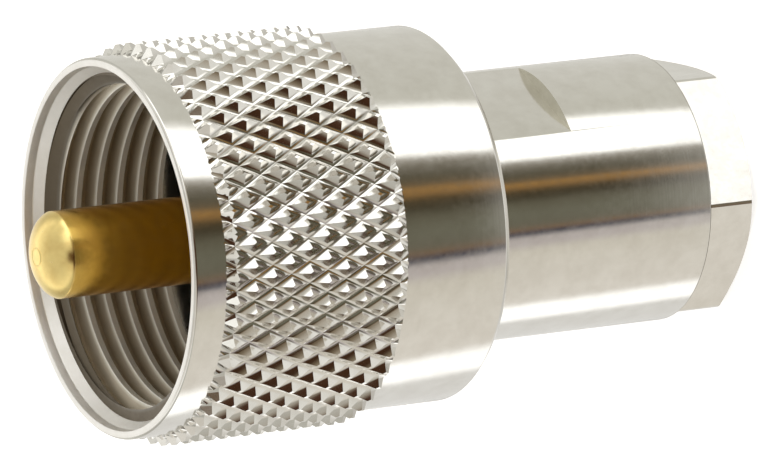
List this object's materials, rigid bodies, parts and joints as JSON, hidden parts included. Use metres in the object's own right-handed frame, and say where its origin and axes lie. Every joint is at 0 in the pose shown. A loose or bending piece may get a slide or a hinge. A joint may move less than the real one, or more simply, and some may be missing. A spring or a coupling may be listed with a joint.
{
  "type": "coaxial uhf plug",
  "caption": "Clamp type coaxial plug with a knurled coupling nut that spins, a domed centre pin, a body with wrench flats and a hexagonal clamp nut that screws onto the cable.",
  "frame": {"origin": "centre of the clamp nut's rear face, on which the plug stands", "axes": "+Z along the cable axis towards the mating end, +X square to one of the two wrench flats on the body"},
  "size_m": [0.0184, 0.0184, 0.0343],
  "materials": {
    "nickel_nut": "bright nickel plate on brass, knurled",
    "nickel_body": "bright nickel plate on turned brass",
    "nickel_clamp": "nickel plate on turned brass",
    "gold_contact": "gold plate on brass, polished",
    "spring_bronze": "bare spring bronze",
    "insulator_white": "machined white fluoropolymer",
    "gasket_rubber": "moulded black rubber"
  },
  "bodies": {
    "clamp_nut": {"clamp_nut": "nickel_body"},
    "clamp_stack": {"slip_washer": "nickel_clamp", "cable_gasket": "gasket_rubber", "braid_clamp": "nickel_clamp"},
    "plug_body": {"body_shell": "nickel_body", "front_insulator": "insulator_white", "rear_insulator": "insulator_white", "centre_contact": "gold_contact", "nut_retaining_ring": "spring_bronze"},
    "coupling_nut": {"coupling_nut": "nickel_nut"}
  },
  "joints": [
    {"name": "clamp_screw", "type": "hinge", "parent": "clamp_nut", "child": "clamp_stack", "pos_m": [0, 0, 0.0026], "axis": [0, 0, 1], "range_deg": [0, 2160]},
    {"name": "clamp_travel", "type": "slide", "parent": "clamp_stack", "child": "plug_body", "axis": [0, 0, 1], "range_m": [0, 0.0045]},
    {"name": "coupling_spin", "type": "hinge", "parent": "plug_body", "child": "coupling_nut", "pos_m": [0, 0, 0.0158], "axis": [0, 0, 1], "continuous": true}
  ],
  "couplings": [
    {"joint": "clamp_screw", "follows": "clamp_travel", "rad_per_m": 8377.6}
  ]
}
